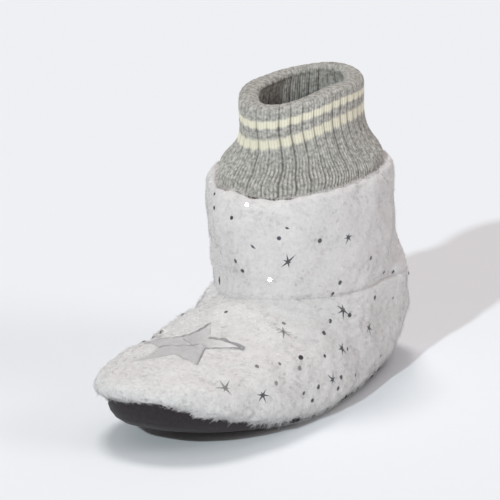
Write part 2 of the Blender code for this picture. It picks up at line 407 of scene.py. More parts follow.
def plush(name, light, dark, blotch):
    """Knitted polyester plush, brushed and sheared: matt fibres with a soft bloom at the edges."""
    material, tree, shader = new_material(name)
    place = add(tree, "ShaderNodeTexCoord").outputs["Object"]
    soft = add(tree, "ShaderNodeTexNoise", {"Vector": place, "Scale": per_mm(blotch), "Detail": 3.0})
    fine = add(tree, "ShaderNodeTexNoise", {"Vector": place, "Scale": per_mm(LOCK_GRAIN), "Detail": 2.0})
    both = add(tree, "ShaderNodeMath", {0: soft.outputs["Fac"], 1: fine.outputs["Fac"]}, operation="ADD")
    tone = add(tree, "ShaderNodeMapRange", {"Value": both.outputs[0], "From Min": 0.75, "From Max": 1.25})
    tones = {"Factor": tone.outputs[0], "A": linear(dark), "B": linear(light)}
    colour = add(tree, "ShaderNodeMix", tones, data_type="RGBA").outputs["Result"]
    feed(tree, shader, {"Base Color": colour, "Roughness": 0.95, "Specular IOR Level": 0.2})
    feed(tree, shader, {"Sheen Weight": 0.25, "Sheen Roughness": 0.6})
    return material


foot_pile_cloth = plush("Long-pile polyester plush, off-white", "#d5d3d2", "#c8c6c5", 7.0)
shaft_pile_cloth = plush("Short-pile polyester plush, cool white", "#d4d1d0", "#c7c4c4", 12.0)
# Painted light: the loose hairs are white, lighter than the pile they stand from, so that their upright
# blades don't shade dark
fuzz_cloth_painted_light = plush("Loose polyester fibre, white", "#ffffff", "#f2f1f0", 4.0)
lining_cloth = plush("Brushed fleece lining", "#e8e7e6", "#dbd9d8", 5.0)
print("materials:", foot_pile_cloth.name, "/", shaft_pile_cloth.name)

# %% [markdown]
# ## Cloth tubes
# The foot panel and the shaft are tubes with a real wall: an outer face, an edge, a lining and
# another edge. A grid that is bent into a tube does this with even quads: its columns go round the
# foot and its rows go up the outer face and down the lining. The row tells how far up the last and
# how deep below its surface a point lies.

# %% Tube maker
CLOSE_WITHIN = 0.01


def finish(piece, nodes, slot, *materials):
    """Materials, smooth shading and the piece's place in the frame."""
    for material in materials:
        piece.data.materials.append(material)
    piece.data.shade_smooth()
    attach(piece, "root")
    for node in nodes:
        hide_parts(node)
    print(piece.name, "has", len(piece.data.polygons), "faces")
    return piece


def new_piece(name, bm):
    mesh = bpy.data.meshes.new(name)
    bm.to_mesh(mesh)
    bm.free()
    piece = bpy.data.objects.new(name, mesh)
    bpy.context.scene.collection.objects.link(piece)
    return piece


def bent_grid(bm, rows, columns, place):
    """Adds a grid whose vertices go where place says, in mm, for their row and column shares."""
    made = bmesh.ops.create_grid(bm, x_segments=columns, y_segments=rows, size=0.5, calc_uvs=True)
    flat = np.array([vert.co[:2] for vert in made["verts"]]) + 0.5
    for vert, point in zip(made["verts"], place(flat[:, 1], flat[:, 0]) * MM):
        vert.co = point
    return made["verts"], flat


def closed(bm):
    """Merges the seams of bent grids and turns their faces outwards."""
    bmesh.ops.remove_doubles(bm, verts=bm.verts, dist=CLOSE_WITHIN * MM)
    bmesh.ops.recalc_face_normals(bm, faces=bm.faces)
    return bm


print("points closer than", CLOSE_WITHIN, "mm are merged")

# %% [markdown]
# ## Foot panel and shaft
# The backing cloth lies a pile's height under the solid's face, so the fibres that grow from it
# reach that face and soften its outline. The lining keeps the solid's wall thickness.

# %% Backing cloth
PLUSH_WALL = 5.0
FOOT_PILE_DEPTH = 0.7
SHAFT_PILE_DEPTH = 0.5
LEAST_WALL = 1.5
WALL_STOPS = (0.0, 0.60, 0.64, 0.96, 1.0)
LINED_FROM = 0.62


def ankle_line(turn):
    return np.full_like(turn, LEVEL["ankle"])


def wall_place(low_line, high_line, pile_depth):
    """Place function of a wall that runs up its face between two lines and down its lining."""

    def place(row, column):
        turn = FULL_TURN * column
        low, high = low_line(turn), high_line(turn)
        level = low + (high - low) * np.interp(row, WALL_STOPS, (0.0, 1.0, 1.0, 0.0, 0.0))
        inside = np.interp(row, WALL_STOPS, (0.0, 0.0, 1.0, 1.0, 0.0))
        face = pile_depth - plush_relief(level, turn)
        depth = face * (1.0 - inside) + np.maximum(PLUSH_WALL, face + LEAST_WALL) * inside
        return sunk(level, turn, depth)

    return place


def lined_tube(name, rows, columns, place):
    bm = bmesh.new()
    uv = bm.loops.layers.uv.new("OFBake")
    bent_grid(bm, rows, columns, place)
    for face in bm.faces:
        face.material_index = int(face.loops[0][uv].uv.y > LINED_FROM)
    return new_piece(name, closed(bm))


foot = lined_tube("foot_panel", 120, 300, wall_place(hem_line, ankle_line, FOOT_PILE_DEPTH))
finish(foot, ["upper"], "foot_plush", foot_pile_cloth, lining_cloth)
shaft = lined_tube("ankle_shaft", 100, 260, wall_place(ankle_line, gather_line, SHAFT_PILE_DEPTH))
finish(shaft, ["shaft"], "shaft_plush", shaft_pile_cloth, lining_cloth)

# %% [markdown]
# ## Star on the vamp
# The star is a smooth velour patch sewn into the pile. Its outline is drawn in plan, as seen from
# above: five points, a little shorter along the foot and skewed, as the cloth has been pulled.

# %% Outline of the star
STAR_ALONG = 205.3
STAR_SIDE = -3.2
STAR_CENTRE = np.array((STAR_SIDE, CENTRE_ALONG - STAR_ALONG))
STAR_TIP = 30.3
STAR_NOTCH = 13.8
STAR_SQUASH = 0.88
STAR_SKEW = 0.2
TIP_MARGIN = 1.6
STAR_POINTS = 5


def star_corners(grow):
    """Corners of the star in plan, in mm, grown outwards by a margin."""
    angles = np.pi * np.arange(2 * STAR_POINTS) / STAR_POINTS
    radii = np.where(np.arange(2 * STAR_POINTS) % 2, STAR_NOTCH + grow, STAR_TIP + TIP_MARGIN * grow)
    across = radii * np.sin(angles)
    along = STAR_SQUASH * radii * np.cos(angles) + STAR_SKEW * across
    return STAR_CENTRE + np.stack([across, along], axis=1)


def inside_star(points, grow):
    """True where a point lies inside the star's outline, seen from above."""
    corners = star_corners(grow)
    inside = np.zeros(len(points), dtype=bool)
    for (x0, y0), (x1, y1) in zip(corners, np.roll(corners, -1, axis=0)):
        crosses = (y0 > points[:, 1]) != (y1 > points[:, 1])
        where = x0 + (points[:, 1] - y0) * (x1 - x0) / (y1 - y0 + 1e-12)
        inside ^= crosses & (points[:, 0] < where)
    return inside


def to_star_edge(points):
    """Distance of places in plan from the star's outline."""
    corners = star_corners(0.0)
    nearest = np.full(len(points), 1e9)
    for start, end in zip(corners, np.roll(corners, -1, axis=0)):
        side = end - start
        share = np.clip((points - start) @ side / (side @ side), 0.0, 1.0)
        nearest = np.minimum(nearest, np.linalg.norm(points - start - share[:, None] * side, axis=1))
    return nearest


print("star:", np.round(np.ptp(star_corners(0.0), axis=0), 1), "mm across and along")

# %% [markdown]
# ## From plan to the last
# Each point of the star has to be lifted to the last below it. Finding that place means turning the
# surface formula round: it starts at the nearest of a few sample points, and some Newton steps
# close the gap.

# %% From plan to the last
# First value, last value and number of samples, turns in degrees
VAMP_LEVELS = (2.5, 5.8, 24)
VAMP_TURNS = (95.0, 265.0, 50)
NEWTON_STEPS = 8
NEWTON_STEP = 0.01


def on_vamp(plan):
    """Levels and turns of the points of the last that lie over places in plan."""
    levels, turns = np.meshgrid(np.linspace(*VAMP_LEVELS), np.radians(np.linspace(*VAMP_TURNS)))
    sample = last_point(levels, turns)[..., :2].reshape(-1, 2)
    nearest = np.argmin(((plan[:, None, :] - sample[None]) ** 2).sum(axis=-1), axis=1)
    level = levels.ravel()[nearest]
    turn = turns.ravel()[nearest]
    for _ in range(NEWTON_STEPS):
        here = last_point(level, turn)[:, :2]
        by_level = (last_point(level + NEWTON_STEP, turn)[:, :2] - here) / NEWTON_STEP
        by_turn = (last_point(level, turn + NEWTON_STEP)[:, :2] - here) / NEWTON_STEP
        miss = plan - here
        area = by_level[:, 0] * by_turn[:, 1] - by_level[:, 1] * by_turn[:, 0]
        level = level + (miss[:, 0] * by_turn[:, 1] - miss[:, 1] * by_turn[:, 0]) / area
        turn = turn + (by_level[:, 0] * miss[:, 1] - by_level[:, 1] * miss[:, 0]) / area
    return level, turn


print("star's middle: level", np.round(on_vamp(STAR_CENTRE[None])[0], 2))

# %% [markdown]
# ## Velour patch
# A flat star is cut into small triangles and laid on the vamp. Its stitched edge lies deep, the
# middle has a little loft, and the cloth has a few small wrinkles, each a row here.

# %% Velour patch
STAR_CUTS = 5
STAR_WALL = 1.4
STAR_SUNK = 0.9
STAR_LOFT = 1.1
STAR_SLOPE = 1.3
WRINKLE_FADE = 1.5
STAR_WRINKLES = (
    # across, along from the star's middle, length, width, height, slant in degrees
    (-6.0, 3.0, 22.0, 1.2, 1.0, 24.0),
    (2.0, -2.0, 26.0, 1.2, -0.6, 14.0),
    (4.0, 3.0, 20.0, 1.1, 1.0, -32.0),
    (-9.0, -6.0, 20.0, 1.3, -0.6, 8.0),
    (9.0, -1.0, 16.0, 1.1, 0.8, -10.0),
)


def star_depth(plan):
    """Depth of the velour under the last: stitched down at its edge, lofted and wrinkled inside."""
    edge = to_star_edge(plan)
    depth = STAR_SUNK - STAR_LOFT * (1.0 - np.exp(-edge / STAR_SLOPE))
    fade = 1.0 - np.exp(-edge / WRINKLE_FADE)
    for across, along, length, width, height, slant in STAR_WRINKLES:
        offset = plan - STAR_CENTRE - np.array((across, along))
        c, s = math.cos(math.radians(slant)), math.sin(math.radians(slant))
        ends = np.clip(1.0 - (2.0 * (offset @ (c, s)) / length) ** 2, 0.0, 1.0)
        depth -= height * fade * ends * np.exp(-((offset @ (-s, c) / width) ** 2))
    return depth


def make_star():
    bm = bmesh.new()
    bmesh.ops.create_circle(bm, cap_ends=True, cap_tris=True, segments=2 * STAR_POINTS, radius=1.0)
    corners = star_corners(0.0)
    middle = corners.mean(axis=0)
    for vert in bm.verts:
        corner = round(math.atan2(vert.co.x, vert.co.y) * STAR_POINTS / math.pi) % (2 * STAR_POINTS)
        vert.co.xy = corners[corner] if vert.co.length > 0.5 else middle
    for _ in range(STAR_CUTS):
        bmesh.ops.subdivide_edges(bm, edges=bm.edges, cuts=1, use_grid_fill=True)
    plan = np.array([vert.co[:2] for vert in bm.verts])
    level, turn = on_vamp(plan)
    depth = star_depth(plan) - plush_relief(level, turn)
    for vert, point in zip(bm.verts, sunk(level, turn, depth) * MM):
        vert.co = point
    bmesh.ops.recalc_face_normals(bm, faces=bm.faces)
    bmesh.ops.solidify(bm, geom=bm.faces[:], thickness=STAR_WALL * MM)
    bmesh.ops.recalc_face_normals(bm, faces=bm.faces)
    return new_piece("velour_star", bm)


star = make_star()
print("star has", len(star.data.vertices), "points")

# %% [markdown]
# ## Velour
# Velour is a pile that is sheared so short that it reads as a smooth, slightly silky cloth. A fine bump
# stands for its nap and a stronger sheen than the plush's for its silk. Its colour grows lighter towards the
# outer tip, which a slanted ramp over the star gives.

# %% Velour
TIP_RAMP_SKEW = 0.6
TIP_RAMP_SPAN = (4.0, 24.0)
VELOUR_BLOTCH = 4.0
# The sheared nap is finer than this, and is drawn as coarse as it needs to show
VELOUR_NAP = 0.7


def velour():
    """Sheared polyester velour, smoother and a shade darker than the plush round it."""
    material, tree, shader = new_material("Sheared grey velour")
    place = add(tree, "ShaderNodeTexCoord").outputs["Object"]
    noise = add(tree, "ShaderNodeTexNoise", {"Vector": place, "Scale": per_mm(VELOUR_BLOTCH), "Detail": 4.0})
    tones = {"Factor": noise.outputs["Fac"], "A": linear("#a9a7a8"), "B": linear("#c0bebf")}
    colour = add(tree, "ShaderNodeMix", tones, data_type="RGBA").outputs["Result"]
    # A slanted ramp makes the colour lighter towards the star's outer tip
    axes = add(tree, "ShaderNodeSeparateXYZ", {"Vector": place}).outputs
    skewed = {0: axes["Y"], 1: TIP_RAMP_SKEW, 2: axes["X"]}
    along = add(tree, "ShaderNodeMath", skewed, operation="MULTIPLY_ADD").outputs[0]
    start, end = (TIP_RAMP_SKEW * STAR_CENTRE[1] + edge for edge in TIP_RAMP_SPAN)
    span = {"Value": along, "From Min": start * MM, "From Max": end * MM}
    brushed = add(tree, "ShaderNodeMapRange", span).outputs[0]
    tones = {"Factor": brushed, "A": colour, "B": linear("#d2d0d0")}
    velvet = add(tree, "ShaderNodeMix", tones, data_type="RGBA").outputs["Result"]
    nap = add(tree, "ShaderNodeTexNoise", {"Vector": place, "Scale": per_mm(VELOUR_NAP), "Detail": 2.0})
    relief = {"Height": nap.outputs["Fac"], "Strength": 0.5, "Distance": 0.5 * MM}
    normal = add(tree, "ShaderNodeBump", relief).outputs["Normal"]
    feed(tree, shader, {"Base Color": velvet, "Normal": normal, "Roughness": 0.8})
    feed(tree, shader, {"Sheen Weight": 0.35, "Sheen Roughness": 0.4})
    return material


finish(star, ["star_patch"], "star_velour", velour())

# %% [markdown]
# ## Star seam and painted shade
# Grey strips run along the star's sides: its seam's thread, and painted shadow where the velour meets the
# pile. They show along some sides and sink into the pile along others, so each side has its own share of the
# full width. Two sharp creases of the velour are strips of the same grey, painted shade in the creases.

# %% Star seam and painted shade
SEAM_WIDTH = 0.8
# Share of the full width that the grey strip shows on each side of the outline, round from the tip on the
# ankle's side: seam thread and painted shadow
SEAM_AND_SHADOW_SHARES = (0.15, 3.0, 0.9, 0.7, 0.3, 0.2, 0.2, 0.3, 1.1, 1.3)
SEAM_DEPTH = 0.15
SEAM_UNEVEN = 0.35
SEAM_WAVES = 9.0
# Painted shade: a grey strip lies in each of two creases of the velour
CREASE_SHADE_STRIPS = (
    # start and end across and along from the star's middle, share of the seam's width
    ((-14.0, -5.8), (13.0, 0.8), 0.6),
    ((-3.5, 3.9), (6.8, -2.2), 0.5),
)
CREASE_LIFT = 0.08


def star_seam_and_shade():
    """Narrow grey strips: one along each side of the star, seam thread with painted shadow, and one in each
    crease, painted shade.
    """
    bm = bmesh.new()
    bm.loops.layers.uv.new("OFBake")
    corners = star_corners(0.0)
    lines = list(zip(corners, np.roll(corners, -1, axis=0), SEAM_AND_SHADOW_SHARES))
    for start, end, share in CREASE_SHADE_STRIPS:
        lines.append((STAR_CENTRE + np.array(start), STAR_CENTRE + np.array(end), share))
    for number, (start, end, share) in enumerate(lines):
        side = unit(end - start)
        across = np.array((side[1], -side[0]))

        def strip(row, column):
            uneven = 1.0 + SEAM_UNEVEN * np.sin(SEAM_WAVES * column + start[0])
            width = SEAM_WIDTH * share * (row - 0.5) * uneven
            plan = start + column[:, None] * (end - start) + width[:, None] * across
            level, turn = on_vamp(plan)
            depth = SEAM_DEPTH if number < len(corners) else star_depth(plan) - CREASE_LIFT
            return sunk(level, turn, depth - plush_relief(level, turn))

        bent_grid(bm, 2, 24, strip)
    return new_piece("star_seam_and_shade", closed(bm))


# The seam's grey is also painted shadow along the star's edge and painted shade in its creases
seam_thread_and_shade = plush("Grey sewing thread", "#989698", "#868486", 3.0)
finish(star_seam_and_shade(), [], "star_velour", seam_thread_and_shade)

# %% [markdown]
# ## Pile
# Hair systems don't leave Blender as a mesh, so each fibre bundle here is a flat blade of one
# triangle. Blades grow in tufts, and the tufts are sown at random but evenly by area: a cell of a
# fine grid is drawn with a chance that follows its size.

# %% Sowing
SOW_ROWS = 160
SOW_COLUMNS = 420


def sow(rng, low, high, count):
    """Levels and turns of random places spread evenly over the cloth."""
    levels = np.linspace(low, high, SOW_ROWS + 1)[:, None]
    turns = np.linspace(0.0, FULL_TURN, SOW_COLUMNS + 1)[None, :]
    grid = last_point(*np.broadcast_arrays(levels, turns))
    up = grid[1:, :-1] - grid[:-1, :-1]
    over = grid[:-1, 1:] - grid[:-1, :-1]
    area = np.linalg.norm(np.cross(up, over), axis=-1).ravel()
    cell = rng.choice(area.size, count, p=area / area.sum())
    row = cell // SOW_COLUMNS + rng.random(count)
    column = cell % SOW_COLUMNS + rng.random(count)
    return low + (high - low) * row / SOW_ROWS, FULL_TURN * column / SOW_COLUMNS


print("sown over", SOW_ROWS * SOW_COLUMNS, "cells")

# %% [markdown]
# ## Blades as a mesh
# No operator sows blades by the hundred thousand, so their corners are worked out as arrays and
# handed to a mesh at once. A blade borrows the normal of the cloth that it grows from: flat
# triangles with their own normals would glitter like straw, and these blend into one soft surface.
# White fibres pass light on rather than block it, so the blades cast no shadow and bounce no light
# of their own, and the cloth below them does.

# %% Loose triangles
BAKE_CORNERS = np.array(((-0.002, 0.0), (0.002, 0.0), (0.0, 0.004)))


def triangles(name, points, normals, uv):
    """A piece of loose triangles from arrays of corners in mm, normals and bake coordinates."""
    count = len(points)
    mesh = bpy.data.meshes.new(name)
    mesh.vertices.add(3 * count)
    mesh.vertices.foreach_set("co", (points * MM).ravel())
    mesh.loops.add(3 * count)
    mesh.loops.foreach_set("vertex_index", np.arange(3 * count))
    mesh.polygons.add(count)
    mesh.polygons.foreach_set("loop_start", np.arange(0, 3 * count, 3))
    mesh.polygons.foreach_set("loop_total", np.full(count, 3))
    mesh.update(calc_edges=True)
    layer = mesh.uv_layers.new(name="OFBake")
    layer.uv.foreach_set("vector", np.clip(uv[:, None, :] + BAKE_CORNERS, 0.0, 1.0).ravel())
    mesh.shade_smooth()
    mesh.normals_split_custom_set_from_vertices(np.repeat(normals, 3, axis=0))
    piece = bpy.data.objects.new(name, mesh)
    piece.visible_shadow = False
    piece.visible_diffuse = False
    bpy.context.scene.collection.objects.link(piece)
    return piece


print("a blade bakes to", round(float(np.ptp(BAKE_CORNERS[:, 0])), 3), "of its map's width")

# %% [markdown]
# ## Pile round the star
# The star is bare, but pile creeps over its edge, most of all over the inner one.

# %% Pile round the star
STAR_LEVELS = (2.2, 5.8)
STAR_BARE = -4.5
STAR_INNER = -1.6
STAR_SOFT = 16.0
EDGE_ROOTS = 0.7
EDGE_TIPS = -0.6
EDGE_PILE = 0.2
EDGE_OVERGROWN = 0.3
INNER_OVERGROWN = 0.25


def off_star(rng, level, root, tip):
    """True for the blades that leave the star bare."""
    inner = np.clip((STAR_SIDE - root[:, 0]) / STAR_SOFT, 0.0, 1.0)
    at_edge = EDGE_PILE + EDGE_OVERGROWN * inner
    stays = np.where(inside_star(root, STAR_INNER), INNER_OVERGROWN * inner, at_edge)
    on_edge = inside_star(root, EDGE_ROOTS) | inside_star(tip, EDGE_TIPS)
    on_star = inside_star(root, STAR_BARE) | (on_edge & (rng.random(len(root)) > stays))
    return ~(on_star & (level > STAR_LEVELS[0]) & (level < STAR_LEVELS[1]))


print("star bare from", -STAR_BARE, "mm inside its edge")

# %% [markdown]
# ## Tufts
# The tips of a tuft lean together, because pile cloth always locks into small clumps, and the tufts
# lie down the leg and towards the toe, the way the cloth is brushed. Each tuft also tilts and
# ruffles its blades' normals a little, which gives the pile its soft shading.

# %% Tufts
FLOOR_CLEARANCE = 0.3
LEAN_SPREAD = 0.4
LEANS = (0.05, 0.998)
ROOT_DEPTH = 0.4
SWIRL_SIZE = 26.0
SWIRL_DRIFT = 0.5
LENGTHS = (0.65, 1.15)
WIDTHS = (0.7, 1.3)
STRAY = 0.10
TIPS_MEET = 0.55
TWIST = 0.12
LOCK_SHADE_LEVELS = (0.0, 2.5, 4.0, 6.0, 6.5)
LOCK_SHADES = (0.55, 0.5, 0.32, 0.32, 0.5)
FIBRE_SHADE = 0.2
BLADE_THICKNESS = 0.02
RUFFLE_SIZE = 3.4
RUFFLE = 0.2


def grow_pile(name, seed, area, tufts, each, length, lean, swirl, width, spread, style):
    """Blades in tufts. Length, width and spread are in mm, lean is 0 upright to 1 flat."""
    rng = np.random.default_rng(seed)
    depth, low_line, high_line, low, high = area
    level, turn = sow(rng, low, high, tufts)
    rise, around, out = last_axes(level, turn)
    surface = last_point(level, turn)
    base = surface - (depth - plush_relief(level, turn) + ROOT_DEPTH)[:, None] * out
    drift = np.pi * (style == "combed up") + SWIRL_DRIFT * lumps(surface, SWIRL_SIZE, seed + 1)
    drift = drift + rng.normal(0.0, swirl, tufts)
    lie = -np.cos(drift)[:, None] * rise + np.sin(drift)[:, None] * around
    tilt = np.clip(lean + LEAN_SPREAD * (1.0 - lean) * rng.normal(size=tufts), *LEANS)[:, None]
    lock = unit(np.sqrt(1.0 - tilt**2) * out + tilt * lie)
    on_cloth = (level > low_line(turn)) & (level < high_line(turn))
    pick = np.repeat(np.flatnonzero(on_cloth), each)
    count = len(pick)
    across = rng.normal(0.0, spread, (count, 1))
    along = rng.normal(0.0, spread, (count, 1))
    offset = across * around[pick] + along * rise[pick]
    reach = length * rng.uniform(*LENGTHS, (count, 1))
    stray = rng.normal(0.0, STRAY * (1.0 - lean) ** 0.25, (count, 3))
    root = base[pick] + offset
    tip = base[pick] + TIPS_MEET * offset + reach * unit(lock[pick] + stray)
    direction = unit(tip - root)
    sideways = unit(np.cross(direction, out[pick]) + rng.normal(0.0, TWIST, (count, 3)))
    if style == "loose":
        sideways = unit(np.cross(sideways, direction))
    half = 0.5 * width * rng.uniform(*WIDTHS, (count, 1)) * sideways
    points = np.stack([root - half, root + half, tip], axis=1)
    points[..., 2] = np.maximum(points[..., 2], FLOOR_CLEARANCE)
    keep = off_star(rng, level[pick], root, tip)
    shade = np.interp(level, LOCK_SHADE_LEVELS, LOCK_SHADES)
    ruffle = lumps(surface, RUFFLE_SIZE, seed + 2)[:, None] * rise
    ruffle = ruffle + lumps(surface, RUFFLE_SIZE, seed + 3)[:, None] * around
    cloth = plush_normal(level, turn) + shade[:, None] * lie + RUFFLE * ruffle
    normals = unit(cloth[pick] + rng.normal(0.0, FIBRE_SHADE, (count, 3)))
    uv = np.stack([turn[pick] / FULL_TURN, (level[pick] - low) / (high - low)], axis=1)
    points, normals, uv = points[keep], normals[keep], uv[keep]
    if style == "loose":
        shift = BLADE_THICKNESS * unit(np.cross(half, direction))[keep][:, None, :]
        points = np.concatenate([points + shift, points[:, (1, 0, 2)] - shift])
        normals, uv = np.tile(normals, (2, 1)), np.tile(uv, (2, 1))
    return triangles(name, points, normals, uv)


print("blade lengths:", LENGTHS, "of the pile's")

# %% [markdown]
# ## Six piles
# The foot's pile is longer than the shaft's. Some white hairs stand loose from both, painted lighter than
# the pile: painted light, which keeps these upright blades from shading darker than the pile round them. A
# fringe hangs over the hem, and the shaft's pile is combed up over the cuff's edge.

# %% Pile of the foot panel and of the shaft
AREAS = {
    # slot, depth of the backing, lines between which the pile grows, lowest and highest level to sow
    "foot": ("foot_plush", FOOT_PILE_DEPTH, hem_line, ankle_line, 0.0, LEVEL["ankle"]),
    "hem": ("foot_plush", FOOT_PILE_DEPTH, hem_line, hem_top, 0.0, 0.6),
    "shaft": ("shaft_plush", SHAFT_PILE_DEPTH, ankle_line, gather_line, LEVEL["ankle"], 10.1),
    "rim": ("shaft_plush", SHAFT_PILE_DEPTH, gather_low, gather_line, 8.9, 10.15),
}
PILES = (
    # piece, cloth, area, seed, tufts, blades a tuft, length, lean, swirl, width, spread, style
    ("foot_pile", foot_pile_cloth, "foot", 11, 15000, 12, 3.4, 0.992, 0.9, 0.34, 0.8, "lying"),
    ("foot_fuzz", fuzz_cloth_painted_light, "foot", 13, 4500, 4, 3.4, 0.92, 1.2, 0.20, 1.6, "loose"),
    ("hem_fringe", foot_pile_cloth, "hem", 15, 4200, 9, 5.6, 0.95, 0.5, 0.30, 0.8, "lying"),
    ("shaft_pile", shaft_pile_cloth, "shaft", 12, 17000, 10, 2.6, 0.992, 0.6, 0.28, 0.6, "lying"),
    ("shaft_fuzz", fuzz_cloth_painted_light, "shaft", 14, 4500, 4, 2.4, 0.92, 1.2, 0.18, 1.2, "loose"),
    ("cuff_fringe", shaft_pile_cloth, "rim", 16, 9000, 5, 2.8, 0.97, 0.7, 0.28, 0.7, "combed up"),
)
for name, cloth, area, seed, *habit in PILES:
    slot, *bounds = AREAS[area]
    finish(grow_pile(name, seed, bounds, *habit), [], slot, cloth)

# %% [markdown]
# ## Ribbed cuff
# The cuff is knitted in rib and folded double, so its 35 ribs of four wales run up the outside, over
# a rolled rim and down the inside. The ribs are real relief. They are spread by length round the
# cuff, not by angle, because the opening is a flat oval and equal angles would crowd them at its
# ends.

# %% Course of the ribs
RIBS = 35
WALES = 4
RING_SAMPLES = 1441
EVEN_SAMPLES = 2001
VALLEYS = np.random.default_rng(41).uniform(0.35, 1.0, RIBS)
CUFF_STOPS = (0.0, 0.50, 0.64, 1.0)
SEWN_IN = 0.12
# Roll angles in radians: a place is outside up to the first, and inside from the second
OUTSIDE_TO = 0.1
INSIDE_FROM = 3.1
RIB_WANDER = (0.30, 0.20)
VALLEY_DEPTH = 0.9
VALLEY_SOFTENS = 0.4
VALLEY_SHARPNESS = 1.7
WALE_DEPTH = 0.3
WALE_SLACK = 0.5
WALE_SHARPNESS = (2.0, 0.7)


def even_turns(level, count):
    """Turns that lie evenly spaced by length round the section at a level."""
    turns = np.linspace(0.0, FULL_TURN, RING_SAMPLES)
    ring = last_point(np.full_like(turns, level), turns)
    length = np.concatenate([[0.0], np.cumsum(np.linalg.norm(np.diff(ring, axis=0), axis=1))])
    return np.interp(np.linspace(0.0, length[-1], count), length, turns)


EVEN = even_turns(LEVEL["stripes"], EVEN_SAMPLES)


def cuff_course(row, column):
    """Turn, level, roll angle and rib height of places on the cuff."""
    turn = np.interp(column, np.linspace(0.0, 1.0, len(EVEN)), EVEN)
    low = gather_line(turn) - SEWN_IN
    level = low + (LEVEL["rim"] - low) * np.interp(row, CUFF_STOPS, (0.0, 1.0, 1.0, -SEWN_IN))
    angle = np.interp(row, CUFF_STOPS, (0.0, 0.0, np.pi, np.pi))
    slack = np.clip(LEVEL["neck"] + 0.5 - level, 0.0, 1.0)
    wide = RIB_WANDER[0] * np.sin(7.0 * level + 5.0 * turn)
    wander = slack * (wide + RIB_WANDER[1] * np.sin(3.0 * level - 11.0 * turn))
    phase = RIBS * column + wander / FULL_TURN
    wale = 1.0 - np.abs(np.sin(WALES * np.pi * phase))
    valley = (1.0 - np.abs(np.sin(np.pi * phase))) ** VALLEY_SHARPNESS
    valley = VALLEYS[np.rint(phase).astype(int) % RIBS] * valley
    sharp = WALE_SHARPNESS[0] - WALE_SHARPNESS[1] * slack
    wale = (WALE_DEPTH + WALE_SLACK * slack) * wale**sharp
    tight = np.clip(level - LEVEL["stripes"], 0.0, 1.0)
    deep = VALLEY_DEPTH - VALLEY_SOFTENS * slack - VALLEY_SOFTENS * tight
    return turn, level, angle, 1.0 - deep * valley - wale


print("ribs:", RIBS, "of", WALES, "wales")

# %% [markdown]
# ## Wall and rolled rim
# The fold makes a fat roll, thinner at the inner back and higher on the outer side. At the bottom
# the cuff is drawn in where it is sewn to the shaft, and above that the empty knit has slumped.

# %% Wall and rolled rim
RIB_HEIGHT = 1.5
RIB_MIDDLE = 0.7
CUFF_WALL = 5.8
CUFF_ROLL = 11.0
ROLL_LIFT = 3.5
ROLL_SMOOTHS = 0.6
ROLL_SHARPNESS = 4
ROLL_THINNER = (4.0, 325.0, 55.0)
RIM_CREST = (3.0, 100.0, 35.0)
NECK_SLUMP = 1.6
NECK_SLUMP_UP = 0.6
NECK_SLUMP_SPREAD = 0.6
GATHER_SINK = (3.0, 0.22)
SLUMP_HEIGHT = 0.5
SLUMP_SIZE = 30.0


def cuff_place(row, column):
    """Place function of the cuff: up the outside, round the roll and down the inside."""
    turn, level, angle, rib = cuff_course(row, column)
    share = np.clip((level - LEVEL["gather"]) / (LEVEL["rim"] - LEVEL["gather"]), 0.0, 1.0)
    roll = CUFF_ROLL - bumps(turn, ROLL_THINNER)
    wall = CUFF_WALL + (roll - CUFF_WALL) * share**ROLL_SHARPNESS
    rise, _, out = last_axes(level, turn)
    sink, reach = GATHER_SINK
    tuck = sink * np.exp(-(((level - gather_line(turn)) / reach) ** 2)) * (angle < OUTSIDE_TO)
    above_neck = (level - LEVEL["neck"] - NECK_SLUMP_UP) / NECK_SLUMP_SPREAD
    tuck = tuck + NECK_SLUMP * np.exp(-(above_neck**2))
    slump = SLUMP_HEIGHT * lumps(last_point(level, turn), SLUMP_SIZE, seed=8) * share
    depth = 0.5 * wall * (1.0 - np.cos(angle)) + tuck - slump
    lift = ROLL_LIFT * np.sin(angle) + bumps(turn, RIM_CREST) * share**ROLL_SHARPNESS
    swell = RIB_HEIGHT * (1.0 - ROLL_SMOOTHS * np.sin(angle)) * (rib - RIB_MIDDLE)
    facing = np.cos(angle)[:, None] * out + np.sin(angle)[:, None] * rise
    base = last_point(level, turn) - depth[:, None] * out + lift[:, None] * rise
    return base + swell[:, None] * facing


crown = np.array([0.5 * (CUFF_STOPS[1] + CUFF_STOPS[2])])
print("back of the rim at", np.round(cuff_place(crown, np.zeros(1))[0], 1), "mm")

# %% [markdown]
# ## Stripes and painted shade
# Two cream stripes are knitted in; they sink towards the instep, as the empty cuff has slumped there. Each
# point keeps its share of a stripe, and the shade painted into its colour in the grooves, over the roll and
# down the inside, as two attributes that the yarn's colour reads.

# %% Stripes and painted shade
STRIPES = (
    # middle level, sink towards the instep, half height, in levels
    (12.33, 0.20, 0.16),
    (11.56, 0.28, 0.16),
)
STRIPE_HIGH_TURN = 78.0
STRIPE_EDGE = 0.09
STRIPE_WAVE = 0.02
GROOVE_PAINTED_SHADE = 0.6
GROOVE_TOP = 0.85
GROOVE_SMOOTHS = 0.6
GROOVES_PAINTED_DARKER = ((0.25, 50.0, 28.0), (0.2, 235.0, 24.0))
INSIDE_REACH = 1.9
INSIDE_PAINTED_SHADE = 0.74
INSIDE_FADE = 2.4
ROLL_DARK = 0.1
COLUMNS_A_RIB = 20
CUFF_ROWS = 138


def stripe_share(row, column):
    """One on the knitted stripes of the cuff's outside, zero elsewhere."""
    turn, level, angle, _ = cuff_course(row, column)
    share = np.zeros_like(level)
    for middle, sink, half in STRIPES:
        line = middle + sink * np.cos(turn - math.radians(STRIPE_HIGH_TURN))
        line = line + STRIPE_WAVE * np.cos(FULL_TURN * RIBS * column)
        share = np.maximum(share, np.clip((half - np.abs(level - line)) / STRIPE_EDGE + 0.5, 0.0, 1.0))
    return share * (angle < OUTSIDE_TO)


